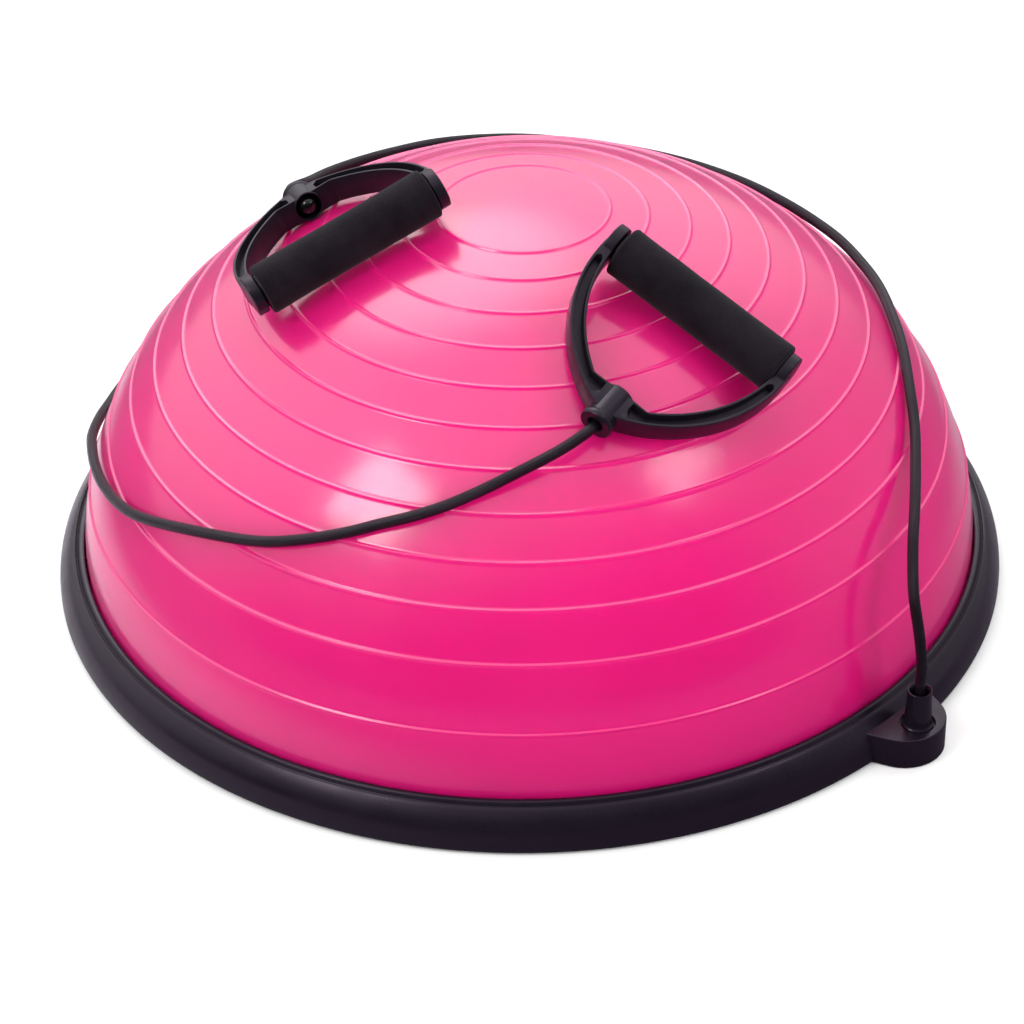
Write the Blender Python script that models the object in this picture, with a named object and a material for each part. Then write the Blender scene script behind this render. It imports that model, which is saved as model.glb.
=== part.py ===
"""Balance dome trainer: an inflated half ball clamped to a round platform, with two resistance bands.

Frame: the floor is z = 0 under the dome's centre, +X points at lug a, +Z is up. Lengths are in metres.
Side a is the band that starts at the +X lug, side b is the one that starts at the -X lug.
"""
import math

import bmesh
import bpy
from mathutils import Euler, Matrix, Vector

# ---------------------------------------------------------------- driving dimensions
GAP = 0.0003                 # running gap between neighbouring pieces

DOME_RADIUS = 0.2723         # outer radius of the inflated dome where it meets the rim
DOME_BASE_Z = 0.026          # height at which the dome's wall stands upright
DOME_RISE = 0.2193           # height of the dome above that line
DOME_SHOULDER = 1.84         # exponent of the dome's profile, 2.0 would be an ellipse
DOME_WALL = 0.0025
DOME_FLANGE_RADIUS = 0.2768  # clamped edge of the dome
DOME_FLOOR_Z = 0.0093

RIM_RADIUS = 0.290           # widest circle of the clamp ring
RIM_BOTTOM_Z = 0.001
RIM_SHOULDER = (0.2794, 0.0250)  # where the slope ends, at the groove beside the lip
RIM_LIP_Z = 0.0268           # top of the lip that hugs the dome
RIM_SKIRT = 0.0040           # thickness of the skirt around the platform

LUG_DISTANCE = 0.289         # centre of each round lug from the dome's axis
LUG_RADIUS = 0.0245
LUG_BOTTOM_Z = 0.0003
LUG_TOP_Z = 0.0195
SOCKET_DISTANCE = 0.299      # axis of the band socket from the dome's axis
SOCKET_TOP_Z = 0.0428
SOCKET_TOP_RADIUS = 0.0071
SOCKET_FOOT_RADIUS = 0.0079
SOCKET_FLANGE_RADIUS = 0.0092
SOCKET_FLANGE_HEIGHT = 0.0013
SOCKET_STEM_RADIUS = 0.0052
SOCKET_RECESS_DEPTH = 0.0019 # the flange sits in a round recess in the lug's top
SOCKET_RECESS_MARGIN = 0.0008
STEM_MARGIN = 0.0004
CLIP_SPACE = 0.0045          # room around the stem for its clip, under the lug's floor
CLIP_ROOF_Z = 0.0085

PLATE_RADIUS = RIM_RADIUS - RIM_SKIRT - GAP
PLATE_BOTTOM_Z = 0.0045
PLATE_TOP_Z = 0.0088
SCREW_COUNT = 12
SCREW_CIRCLE = 0.2815
SCREW_RADIUS = 0.0017
FOOT_COUNT = 8
FOOT_CIRCLE = 0.262
FOOT_RADIUS = 0.011
VALVE_RADIUS = 0.0058

BAND_RADIUS = 0.0032
BALL_RADIUS = 0.0058

GRIP_RADIUS = 0.0150         # foam sleeve
GRIP_LENGTH = 0.1115
GRIP_SHIFT = {"a": 0.0004, "b": -0.0010}  # how far the foam sits towards one end of its tube
CUT_MARGIN = 0.0040          # how far a cutting shape reaches past the surface it opens
TUBE_RADIUS = 0.0098
END_PLATE_RADIUS = 0.0125
END_PLATE_INNER = 0.0570     # the end plates stand at these distances from the bow's centre
END_PLATE_OUTER = 0.0638
BOW_WIDTH = 0.0150           # across the plane of the bow
BOSS_RADIUS = 0.0085
BOSS_FLANGE_RADIUS = 0.0098
BOSS_START = 0.0765          # distances from the grip's axis along the bow's centre line
BOSS_END = 0.1000

ROUND = 48                   # steps around the large turned pieces

# where each handle lies: the middle of its grip, its turn about X, Y and Z, and the lift axis' point
HANDLES = {
    "a": {"at": (-0.0481, -0.0977, 0.2437), "turn": (-13.7, -19.6, 67.3), "lift_at": (-0.1800, -0.0020, 0.1920)},
    "b": {"at": (0.1367, -0.0045, 0.2309), "turn": (-16.6, -25.3, -168.3), "lift_at": (0.1145, -0.1615, 0.1790)},
}

# each band's route from inside its lug's socket to its handle, in metres
ROUTES = {
    "a": [
        (0.299, 0, 0.0090), (0.299, 0, 0.0220), (0.299, 0, 0.0340), (0.299, 0, 0.046), (0.2985, 0.001, 0.060),
        (0.293, 0.004, 0.078), (0.282, 0.012, 0.096), (0.267, 0.030, 0.112), (0.252, 0.051, 0.121),
        (0.237, 0.071, 0.128), (0.218, 0.095, 0.136), (0.199, 0.115, 0.144), (0.173, 0.141, 0.152),
        (0.146, 0.164, 0.156), (0.125, 0.180, 0.157), (0.105, 0.191, 0.1585), (0.080, 0.201, 0.161),
        (0.055, 0.206, 0.1635), (0.030, 0.208, 0.166), (0.005, 0.208, 0.168), (-0.020, 0.206, 0.169),
        (-0.045, 0.201, 0.170), (-0.070, 0.1935, 0.1705), (-0.095, 0.181, 0.172), (-0.115, 0.165, 0.175),
        (-0.133, 0.143, 0.180), (-0.150, 0.117, 0.184), (-0.164, 0.0925, 0.186), (-0.1755, 0.068, 0.186),
        (-0.182, 0.044, 0.187), (-0.184, 0.020, 0.189), (-0.180, -0.002, 0.193), (-0.170, -0.022, 0.202),
        (-0.155, -0.040, 0.213),
    ],
    "b": [
        (-0.299, 0, 0.0090), (-0.299, 0, 0.0220), (-0.299, 0, 0.0340), (-0.299, 0, 0.046),
        (-0.298, 0.001, 0.057),
        (-0.291, 0.004, 0.069), (-0.280, 0.005, 0.081), (-0.270, -0.003, 0.089), (-0.263, -0.018, 0.093),
        (-0.260, -0.036, 0.091), (-0.259, -0.055, 0.085), (-0.258, -0.072, 0.077), (-0.255, -0.088, 0.071),
        (-0.251, -0.101, 0.0675), (-0.246, -0.114, 0.066), (-0.2375, -0.1295, 0.0670), (-0.2265, -0.145, 0.0715),
        (-0.213, -0.161, 0.0775), (-0.200, -0.175, 0.0825), (-0.188, -0.1855, 0.087), (-0.165, -0.203, 0.0925),
        (-0.138, -0.2195, 0.098), (-0.1065, -0.233, 0.1045), (-0.077, -0.240, 0.1125), (-0.034, -0.2415, 0.1255),
        (0.009, -0.236, 0.136), (0.0335, -0.2285, 0.1435), (0.0585, -0.2145, 0.1525), (0.0765, -0.2015, 0.1605),
        (0.090, -0.1905, 0.166), (0.1025, -0.1765, 0.1715), (0.1145, -0.1615, 0.179), (0.124, -0.149, 0.186),
        (0.1315, -0.137, 0.1915), (0.138, -0.1255, 0.1965), (0.1423, -0.115, 0.2007),
    ],
}
BAND_POINT_SPACING = 0.0150  # between the points of a band's smooth centre line

PINK = ((0.86, 0.055, 0.30), 0.32)
BLACK_SATIN = ((0.030, 0.026, 0.036), 0.42)
BLACK_MATT = ((0.022, 0.020, 0.026), 0.62)
BLACK_GLOSS = ((0.012, 0.012, 0.014), 0.12)
FOAM_BLACK = ((0.016, 0.014, 0.016), 0.95)
LATEX_BLACK = ((0.020, 0.019, 0.022), 0.36)
RUBBER_GREY = ((0.050, 0.050, 0.052), 0.80)
STEEL = ((0.55, 0.55, 0.57), 0.35)


# ---------------------------------------------------------------- helpers
def clear_scene():
    for obj in list(bpy.data.objects):
        bpy.data.objects.remove(obj, do_unlink=True)


def material(name, look, metallic=0.0):
    colour, roughness = look
    mat = bpy.data.materials.new(name)
    mat.use_nodes = True
    shader = mat.node_tree.nodes["Principled BSDF"]
    shader.inputs["Base Color"].default_value = (*colour, 1.0)
    shader.inputs["Roughness"].default_value = roughness
    shader.inputs["Metallic"].default_value = metallic
    return mat


def add_object(name, mesh, look, metallic=0.0):
    obj = bpy.data.objects.new(name, mesh)
    bpy.context.scene.collection.objects.link(obj)
    mesh.materials.clear()
    mesh.materials.append(material(name, look, metallic))
    mesh.shade_smooth()
    mesh.set_sharp_from_angle(angle=math.radians(35))
    return obj


def mesh_from(bm, name):
    bmesh.ops.recalc_face_normals(bm, faces=bm.faces)
    mesh = bpy.data.meshes.new(name)
    bm.to_mesh(mesh)
    bm.free()
    return mesh


def turned(name, profile, steps, closed=True):
    """A solid of revolution about Z from (radius, height) points; an open profile ends on the axis."""
    bm = bmesh.new()
    verts = [bm.verts.new((r, 0.0, z)) for r, z in profile]
    edges = [bm.edges.new(pair) for pair in zip(verts, verts[1:])]
    if closed:
        edges.append(bm.edges.new((verts[-1], verts[0])))
    bmesh.ops.spin(
        bm, geom=verts + edges, cent=(0, 0, 0), axis=(0, 0, 1), angle=2 * math.pi, steps=steps, use_merge=True
    )
    bmesh.ops.remove_doubles(bm, verts=bm.verts, dist=1e-6)
    return mesh_from(bm, name)


def prism(name, outline, low, high):
    """An outline in the XY plane made solid from z = low to z = high."""
    bm = bmesh.new()
    face = bm.faces.new([bm.verts.new((x, y, low)) for x, y in outline])
    raised = bmesh.ops.extrude_face_region(bm, geom=[face])
    moved = [v for v in raised["geom"] if isinstance(v, bmesh.types.BMVert)]
    bmesh.ops.translate(bm, verts=moved, vec=(0, 0, high - low))
    return mesh_from(bm, name)


def cylinder_mesh(name, radius, low, high, steps):
    bm = bmesh.new()
    bmesh.ops.create_cone(
        bm, cap_ends=True, segments=steps, radius1=radius, radius2=radius, depth=high - low,
        matrix=Matrix.Translation((0, 0, (low + high) / 2)),
    )
    return mesh_from(bm, name)


def cutter(name, mesh, matrix=None):
    obj = bpy.data.objects.new(name, mesh)
    bpy.context.scene.collection.objects.link(obj)
    obj.hide_render = True
    obj.display_type = "WIRE"
    if matrix is not None:
        obj.matrix_world = matrix
    return obj


def boolean(obj, other, operation):
    mod = obj.modifiers.new(other.name, "BOOLEAN")
    mod.object = other
    mod.operation = operation
    mod.solver = "EXACT"


def around(count, radius, start=0.0):
    """Evenly spaced points on a circle."""
    for i in range(count):
        angle = start + 2 * math.pi * i / count
        yield radius * math.cos(angle), radius * math.sin(angle)


def bezier(p0, p1, p2, p3, count):
    points = []
    for i in range(count):
        t = i / (count - 1)
        s = 1 - t
        weights = (s * s * s, 3 * s * s * t, 3 * s * t * t, t * t * t)
        points.append(tuple(sum(w * p[k] for w, p in zip(weights, (p0, p1, p2, p3))) for k in (0, 1)))
    return points


# ---------------------------------------------------------------- dome
def dome_height(radius, outer, rise):
    return DOME_BASE_Z + rise * (1 - (radius / outer) ** 2) ** (1 / DOME_SHOULDER)


def dome_profile(outer, rise, count):
    """Points from the crown down to the upright wall."""
    points = []
    for i in range(count):
        radius = outer * math.sin(0.5 * math.pi * i / (count - 1))
        points.append((radius, dome_height(min(radius, outer), outer, rise)))
    return points


def build_dome():
    skin = dome_profile(DOME_RADIUS, DOME_RISE, 14)
    lining = dome_profile(DOME_RADIUS - DOME_WALL, DOME_RISE - DOME_WALL, 7)
    flange_top = DOME_FLOOR_Z + DOME_WALL
    outside = skin + [
        (DOME_RADIUS, flange_top + 0.002),
        (DOME_RADIUS + 0.001, flange_top),
        (DOME_FLANGE_RADIUS, flange_top),
        (DOME_FLANGE_RADIUS, DOME_FLOOR_Z),
        (VALVE_RADIUS * 2, DOME_FLOOR_Z),
        (VALVE_RADIUS * 2, flange_top),
        (DOME_RADIUS - DOME_WALL, flange_top),
    ]
    profile = outside + lining[::-1]
    return add_object("dome_bladder", turned("dome_bladder", profile, ROUND, closed=False), PINK)


# ---------------------------------------------------------------- base
def rim_profile():
    """Half section of the clamp ring: skirt, rounded slope, a shallow groove, and the lip beside the dome."""
    slope = bezier((RIM_RADIUS, RIM_BOTTOM_Z), (RIM_RADIUS, 0.0125), (0.2868, 0.0190), RIM_SHOULDER, 7)
    inner = DOME_RADIUS + GAP
    flange_roof = DOME_FLOOR_Z + DOME_WALL + GAP
    flange_side = DOME_FLANGE_RADIUS + GAP
    shelf = PLATE_TOP_Z + GAP
    return slope + [
        (0.2780, 0.0242), (0.2764, 0.0263), (0.2744, RIM_LIP_Z),
        (inner, 0.0262), (inner, flange_roof + 0.0022), (inner + 0.001, flange_roof),
        (flange_side, flange_roof), (flange_side, shelf),
        (RIM_RADIUS - RIM_SKIRT, shelf), (RIM_RADIUS - RIM_SKIRT, RIM_BOTTOM_Z),
    ]


def build_base_ring():
    ring = add_object("base_ring", turned("base_ring", rim_profile(), ROUND), BLACK_SATIN)
    lug_mesh = cylinder_mesh("lug", LUG_RADIUS, LUG_BOTTOM_Z, LUG_TOP_Z, 40)
    throat = DOME_RADIUS + 0.0012
    skirt = RIM_RADIUS - RIM_SKIRT + 0.0006
    keep_out = turned(
        "lug_keep_out",
        [(0, 0.030), (throat, 0.030), (throat, 0.0135), (0.2782, 0.0135), (0.2782, 0.0110), (skirt, 0.0110),
         (skirt, -CUT_MARGIN), (0, -CUT_MARGIN)],
        ROUND * 2, closed=False,
    )
    keep_out_tool = cutter("lug_keep_out_tool", keep_out)
    for side, sign in (("a", 1), ("b", -1)):
        lug = cutter(f"lug_tool_{side}", lug_mesh.copy(), Matrix.Translation((sign * LUG_DISTANCE, 0, 0)))
        boolean(lug, keep_out_tool, "DIFFERENCE")
        boolean(ring, lug, "UNION")
    recess = SOCKET_FLANGE_RADIUS + SOCKET_RECESS_MARGIN
    stem = SOCKET_STEM_RADIUS + STEM_MARGIN
    clip_space = SOCKET_STEM_RADIUS + CLIP_SPACE
    recess_floor = LUG_TOP_Z - SOCKET_RECESS_DEPTH
    hole = turned(
        "socket_hole",
        [(0, LUG_TOP_Z + CUT_MARGIN), (recess, LUG_TOP_Z + CUT_MARGIN), (recess, recess_floor),
         (stem, recess_floor), (stem, CLIP_ROOF_Z), (clip_space, CLIP_ROOF_Z),
         (clip_space, -CUT_MARGIN), (0, -CUT_MARGIN)],
        24, closed=False,
    )
    for side, sign in (("a", 1), ("b", -1)):
        place = Matrix.Translation((sign * SOCKET_DISTANCE, 0, 0))
        tool = cutter(f"socket_hole_tool_{side}", hole.copy(), place)
        boolean(ring, tool, "DIFFERENCE")
    screw_hole = cylinder_mesh("screw_hole", SCREW_RADIUS + 0.0004, 0.004, 0.0162, 8)
    for i, (x, y) in enumerate(around(SCREW_COUNT, SCREW_CIRCLE, math.pi / SCREW_COUNT)):
        tool = cutter(f"ring_hole_tool_{i:02d}", screw_hole.copy(), Matrix.Translation((x, y, 0)))
        boolean(ring, tool, "DIFFERENCE")
    return ring


def build_base_plate():
    """The platform's underside: a flat disc stiffened by a collar and a round rib, open at the valve."""
    port = 0.018
    profile = [
        (port, PLATE_TOP_Z), (port, PLATE_BOTTOM_Z), (port + 0.004, PLATE_BOTTOM_Z), (port + 0.004, 0.0062),
        (0.134, 0.0062), (0.134, PLATE_BOTTOM_Z), (0.139, PLATE_BOTTOM_Z), (0.139, 0.0062),
        (0.246, 0.0062), (0.246, PLATE_BOTTOM_Z), (PLATE_RADIUS, PLATE_BOTTOM_Z), (PLATE_RADIUS, PLATE_TOP_Z),
    ]
    plate = add_object("base_plate", turned("base_plate", profile, ROUND), BLACK_MATT)
    screw_hole = cylinder_mesh("plate_hole", SCREW_RADIUS + 0.0004, 0.000, 0.012, 8)
    for i, (x, y) in enumerate(around(SCREW_COUNT, SCREW_CIRCLE, math.pi / SCREW_COUNT)):
        tool = cutter(f"plate_hole_tool_{i:02d}", screw_hole.copy(), Matrix.Translation((x, y, 0)))
        boolean(plate, tool, "DIFFERENCE")
    peg_hole = cylinder_mesh("peg_hole", 0.0035, 0.000, 0.012, 8)
    for i, (x, y) in enumerate(around(FOOT_COUNT, FOOT_CIRCLE, math.pi / FOOT_COUNT)):
        tool = cutter(f"peg_hole_tool_{i}", peg_hole.copy(), Matrix.Translation((x, y, 0)))
        boolean(plate, tool, "DIFFERENCE")
    return plate


def build_screws():
    head = 0.0034
    under = PLATE_BOTTOM_Z - GAP
    profile = [
        (0, 0.0152), (SCREW_RADIUS * 0.7, 0.0152), (SCREW_RADIUS, 0.0140), (SCREW_RADIUS, under),
        (head, under), (head, under - 0.0012), (head * 0.6, under - 0.0021), (0, under - 0.0021),
    ]
    mesh = turned("base_screw", profile, 8, closed=False)
    for i, (x, y) in enumerate(around(SCREW_COUNT, SCREW_CIRCLE, math.pi / SCREW_COUNT)):
        screw = add_object(f"base_screw_{i + 1:02d}", mesh.copy(), STEEL, metallic=1.0)
        screw.location = (x, y, 0)


def build_feet():
    top = PLATE_BOTTOM_Z - GAP
    profile = [
        (0, 0.0084), (0.0022, 0.0084), (0.0030, 0.0072), (0.0030, top), (FOOT_RADIUS, top),
        (FOOT_RADIUS, 0.0012), (FOOT_RADIUS - 0.0012, 0), (0, 0),
    ]
    mesh = turned("rubber_foot", profile, 14, closed=False)
    for i, (x, y) in enumerate(around(FOOT_COUNT, FOOT_CIRCLE, math.pi / FOOT_COUNT)):
        foot = add_object(f"rubber_foot_{i + 1}", mesh.copy(), RUBBER_GREY)
        foot.location = (x, y, 0)


def build_valve():
    """A rubber seat in the dome's floor and the tapered plug pushed up into it."""
    neck = VALVE_RADIUS * 2 - GAP
    top = DOME_FLOOR_Z + DOME_WALL
    seat_profile = [
        (VALVE_RADIUS + GAP, top + 0.009), (VALVE_RADIUS + 0.0024, top + 0.009), (neck, top + 0.0045),
        (neck + 0.004, top + 0.0020), (neck + 0.004, top + GAP), (neck, top + GAP), (neck, DOME_FLOOR_Z - GAP),
        (neck + 0.003, DOME_FLOOR_Z - GAP), (neck + 0.003, 0.0070), (VALVE_RADIUS + GAP, 0.0070),
    ]
    add_object("valve_seat", turned("valve_seat", seat_profile, 18), RUBBER_GREY)
    plug_profile = [
        (0, 0.0195), (0.0040, 0.0195), (VALVE_RADIUS - 0.0004, 0.0165), (VALVE_RADIUS, 0.0110),
        (VALVE_RADIUS, 0.0065), (0.0088, 0.0065), (0.0092, 0.0052), (0.0084, 0.0044), (0, 0.0044),
    ]
    add_object("valve_plug", turned("valve_plug", plug_profile, 18, closed=False), PINK)


# ---------------------------------------------------------------- lug hardware
def build_socket(side, sign):
    """The hollow ferrule that stands in a lug, the clip under it and the wedge that holds the band's end."""
    bore = BAND_RADIUS + 0.0004
    floor = LUG_TOP_Z - SOCKET_RECESS_DEPTH + GAP
    shoulder = floor + SOCKET_FLANGE_HEIGHT
    stem = SOCKET_STEM_RADIUS
    mouth = 0.0052
    profile = [
        (mouth, SOCKET_TOP_Z), (SOCKET_TOP_RADIUS - 0.0007, SOCKET_TOP_Z),
        (SOCKET_TOP_RADIUS, SOCKET_TOP_Z - 0.0009),
        (SOCKET_FOOT_RADIUS, shoulder + 0.0006), (SOCKET_FLANGE_RADIUS, shoulder),
        (SOCKET_FLANGE_RADIUS, floor), (stem, floor), (stem, 0.0042), (bore, 0.0042),
        (bore, 0.0270), (mouth, 0.0290),
    ]
    ferrule = add_object(f"band_socket_{side}", turned("band_socket", profile, 22), BLACK_SATIN)
    ferrule.location = (sign * SOCKET_DISTANCE, 0, 0)
    clip_profile = [
        (stem + GAP, 0.0080), (stem + 0.0038, 0.0080), (stem + 0.0038, 0.0060), (stem + GAP, 0.0060),
    ]
    clip = add_object(f"socket_clip_{side}", turned("socket_clip", clip_profile, 16), STEEL, metallic=1.0)
    clip.location = (sign * SOCKET_DISTANCE, 0, 0)
    wedge_profile = [
        (0, 0.0086), (0.0018, 0.0086), (BAND_RADIUS, 0.0050), (BAND_RADIUS, 0.0038), (0.0046, 0.0038),
        (0.0046, 0.0016), (0, 0.0016),
    ]
    wedge = add_object(f"band_wedge_{side}", turned("band_wedge", wedge_profile, 16, closed=False), BLACK_GLOSS)
    wedge.location = (sign * SOCKET_DISTANCE, 0, 0)


# ---------------------------------------------------------------- handle
def bow_outline():
    """One arm of the D: its outer edge from the end plate to the boss, then back along its inner edge."""
    outer = bezier((0.0638, 0.002), (0.0670, 0.035), (0.0530, 0.070), (0.0075, 0.0935), 13)
    inner = bezier((0.0180, 0.0780), (0.0460, 0.0580), (0.0580, 0.0300), (0.0575, 0.0020), 11)
    return outer + [(0.0075, 0.0772)] + inner


def groove_outline():
    """The recess in an arm's face: the arm's outline pulled in by its flange thickness."""
    outer = bezier((0.0618, 0.0150), (0.0645, 0.0380), (0.0500, 0.0680), (0.0115, 0.0885), 12)
    inner = bezier((0.0190, 0.0798), (0.0475, 0.0600), (0.0600, 0.0320), (0.0593, 0.0150), 12)
    return outer + [(0.0115, 0.0800)] + inner


def build_bow(side, holder):
    half = BOW_WIDTH / 2
    boss = cylinder_mesh("boss", BOSS_RADIUS, BOSS_START, BOSS_END, 28)
    bow = add_object(f"handle_bow_{side}", boss, BLACK_MATT)
    bow.data.transform(Matrix.Rotation(-math.pi / 2, 4, "X"))
    pieces = []
    for sign in (1, -1):
        outline = [(sign * x, y) for x, y in bow_outline()]
        pieces.append(cutter(f"bow_arm_{side}_{sign}", prism("arm", outline, -half, half)))
        plate = cylinder_mesh("end_plate", END_PLATE_RADIUS, END_PLATE_INNER, END_PLATE_OUTER + 0.0004, 28)
        plate.transform(Matrix.Rotation(sign * math.pi / 2, 4, "Y"))
        pieces.append(cutter(f"bow_plate_{side}_{sign}", plate))
        hub = cylinder_mesh("hub", TUBE_RADIUS - 0.0021, END_PLATE_INNER - 0.0085, END_PLATE_INNER + 0.002, 20)
        hub.transform(Matrix.Rotation(sign * math.pi / 2, 4, "Y"))
        pieces.append(cutter(f"bow_hub_{side}_{sign}", hub))
    flange = cylinder_mesh("boss_flange", BOSS_FLANGE_RADIUS, BOSS_END - 0.0040, BOSS_END + 0.0002, 28)
    flange.transform(Matrix.Rotation(-math.pi / 2, 4, "X"))
    pieces.append(cutter(f"bow_flange_{side}", flange))
    tools = []
    for sign in (1, -1):
        groove = [(sign * x, y) for x, y in groove_outline()]
        for face in (1, -1):
            low, high = (0.0022, half + 0.002) if face > 0 else (-half - 0.002, -0.0022)
            tools.append(cutter(f"bow_groove_{side}_{sign}_{face}", prism("groove", groove, low, high)))
    bore = turned(
        "boss_bore",
        [(0, BOSS_END + 0.003), (0.0047, BOSS_END + 0.003), (0.0047, BOSS_END - 0.003),
         (BAND_RADIUS + 0.0005, BOSS_END - 0.005), (BAND_RADIUS + 0.0005, BOSS_START + 0.0105),
         (BALL_RADIUS + 0.0006, BOSS_START + 0.0065), (BALL_RADIUS + 0.0006, BOSS_START - 0.003),
         (0, BOSS_START - 0.003)],
        24, closed=False,
    )
    bore.transform(Matrix.Rotation(-math.pi / 2, 4, "X"))
    tools.append(cutter(f"bow_bore_{side}", bore))
    for tool, operation in [(p, "UNION") for p in pieces] + [(t, "DIFFERENCE") for t in tools]:
        tool.parent = holder
        boolean(bow, tool, operation)
    bow.parent = holder
    return bow


def build_grip(side, holder):
    """The plastic tube on the bow's two hubs and the foam sleeve stretched over it."""
    bore = TUBE_RADIUS - 0.0018
    reach = END_PLATE_INNER - 0.0006
    tube_profile = [(bore, reach), (TUBE_RADIUS, reach), (TUBE_RADIUS, -reach), (bore, -reach)]
    tube = add_object(f"grip_tube_{side}", turned("grip_tube", tube_profile, 24), BLACK_MATT)
    half = GRIP_LENGTH / 2
    hole = TUBE_RADIUS + GAP
    foam_profile = [
        (hole, half), (GRIP_RADIUS - 0.0030, half), (GRIP_RADIUS - 0.0009, half - 0.0010),
        (GRIP_RADIUS, half - 0.0035), (GRIP_RADIUS, -half + 0.0035), (GRIP_RADIUS - 0.0009, -half + 0.0010),
        (GRIP_RADIUS - 0.0030, -half), (hole, -half),
    ]
    foam = add_object(f"foam_grip_{side}", turned("foam_grip", foam_profile, 28), FOAM_BLACK)
    for obj, shift in ((tube, 0.0), (foam, GRIP_SHIFT[side])):
        obj.rotation_euler = (0, math.pi / 2, 0)
        obj.location = (shift, 0, 0)
        obj.parent = holder


def build_ball(side, holder):
    """The glossy stopper on the band's end, seated in the boss and facing the grip."""
    bm = bmesh.new()
    bmesh.ops.create_uvsphere(bm, u_segments=18, v_segments=10, radius=BALL_RADIUS)
    ball = add_object(f"stopper_ball_{side}", mesh_from(bm, "stopper_ball"), BLACK_GLOSS)
    ball.location = (0, BOSS_START + 0.0022, 0)
    ball.parent = holder


def handle_matrix(side):
    spec = HANDLES[side]
    turn = Euler([math.radians(a) for a in spec["turn"]], "XYZ")
    return Matrix.Translation(spec["at"]) @ turn.to_matrix().to_4x4()


def lift_axis(side):
    """The tangent about which the handle tips up: level with the dome and square to the band's last stretch."""
    place = handle_matrix(side)
    along = (place.translation - Vector(HANDLES[side]["lift_at"])).normalized()
    normal = place.to_3x3() @ Vector((0, 0, 1))
    return along.cross(normal).normalized()


def build_handle(side):
    place = handle_matrix(side)
    hinge = bpy.data.objects.new(f"lift_axis_{side}", None)
    bpy.context.scene.collection.objects.link(hinge)
    axis = lift_axis(side)
    turn = axis.to_track_quat("X", "Z").to_matrix().to_4x4()
    hinge.matrix_world = Matrix.Translation(HANDLES[side]["lift_at"]) @ turn
    holder = bpy.data.objects.new(f"handle_frame_{side}", None)
    bpy.context.scene.collection.objects.link(holder)
    holder.parent = hinge
    bpy.context.view_layer.update()
    holder.matrix_parent_inverse = hinge.matrix_world.inverted()
    holder.matrix_basis = place
    build_bow(side, holder)
    build_grip(side, holder)
    build_ball(side, holder)


# ---------------------------------------------------------------- bands
def catmull_rom(points, spacing):
    """Even points on a smooth curve through the route's own points."""
    path = [Vector(p) for p in points]
    path = [path[0] * 2 - path[1]] + path + [path[-1] * 2 - path[-2]]
    fine = []
    for a, b, c, d in zip(path, path[1:], path[2:], path[3:]):
        for i in range(24):
            t = i / 24
            fine.append(0.5 * ((2 * b) + (c - a) * t + (2 * a - 5 * b + 4 * c - d) * t * t
                               + (3 * b - a - 3 * c + d) * t ** 3))
    fine.append(path[-2])
    lengths = [0.0]
    for a, b in zip(fine, fine[1:]):
        lengths.append(lengths[-1] + (b - a).length)
    count = round(lengths[-1] / spacing)
    even = []
    k = 0
    for i in range(count + 1):
        want = lengths[-1] * i / count
        while k < len(fine) - 2 and lengths[k + 1] < want:
            k += 1
        part = (want - lengths[k]) / (lengths[k + 1] - lengths[k])
        even.append(fine[k].lerp(fine[k + 1], part))
    return even


def build_band(side):
    place = handle_matrix(side)
    mouth = [place @ Vector((0, BOSS_END + d, 0)) for d in (0.004, -0.004)]
    inside = [place @ Vector((0, BOSS_START + 0.0105, 0))]
    if side == "a":
        mouth = [place @ Vector((0, BOSS_END + 0.012, 0))] + mouth
    points = catmull_rom([*ROUTES[side], *mouth, *inside], BAND_POINT_SPACING)
    curve = bpy.data.curves.new(f"resistance_band_{side}", "CURVE")
    curve.dimensions = "3D"
    spline = curve.splines.new("POLY")
    spline.points.add(len(points) - 1)
    for point, place_at in zip(spline.points, points):
        point.co = (*place_at, 1.0)
    spline.use_smooth = True
    curve.bevel_depth = BAND_RADIUS
    curve.bevel_resolution = 2
    curve.use_fill_caps = True
    band = bpy.data.objects.new(f"resistance_band_{side}", curve)
    bpy.context.scene.collection.objects.link(band)
    curve.materials.append(material(f"resistance_band_{side}", LATEX_BLACK))


def main():
    clear_scene()
    build_dome()
    build_base_ring()
    build_base_plate()
    build_screws()
    build_feet()
    build_valve()
    for side, sign in (("a", 1), ("b", -1)):
        build_socket(side, sign)
        build_handle(side)
        build_band(side)


main()
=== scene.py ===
"""Looks of the balance dome trainer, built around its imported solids.

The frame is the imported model's: the floor is z = 0 under the dome, +X points at lug a, +Z is up.
Shapes are written in millimetres and turned into metres by MM when they become meshes.
Side a is the band that starts at the +X lug, side b is the one that starts at the -X lug.
"""
import bisect
import math

import bmesh
import bpy
from mathutils import Euler, Matrix, Quaternion, Vector, noise


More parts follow.
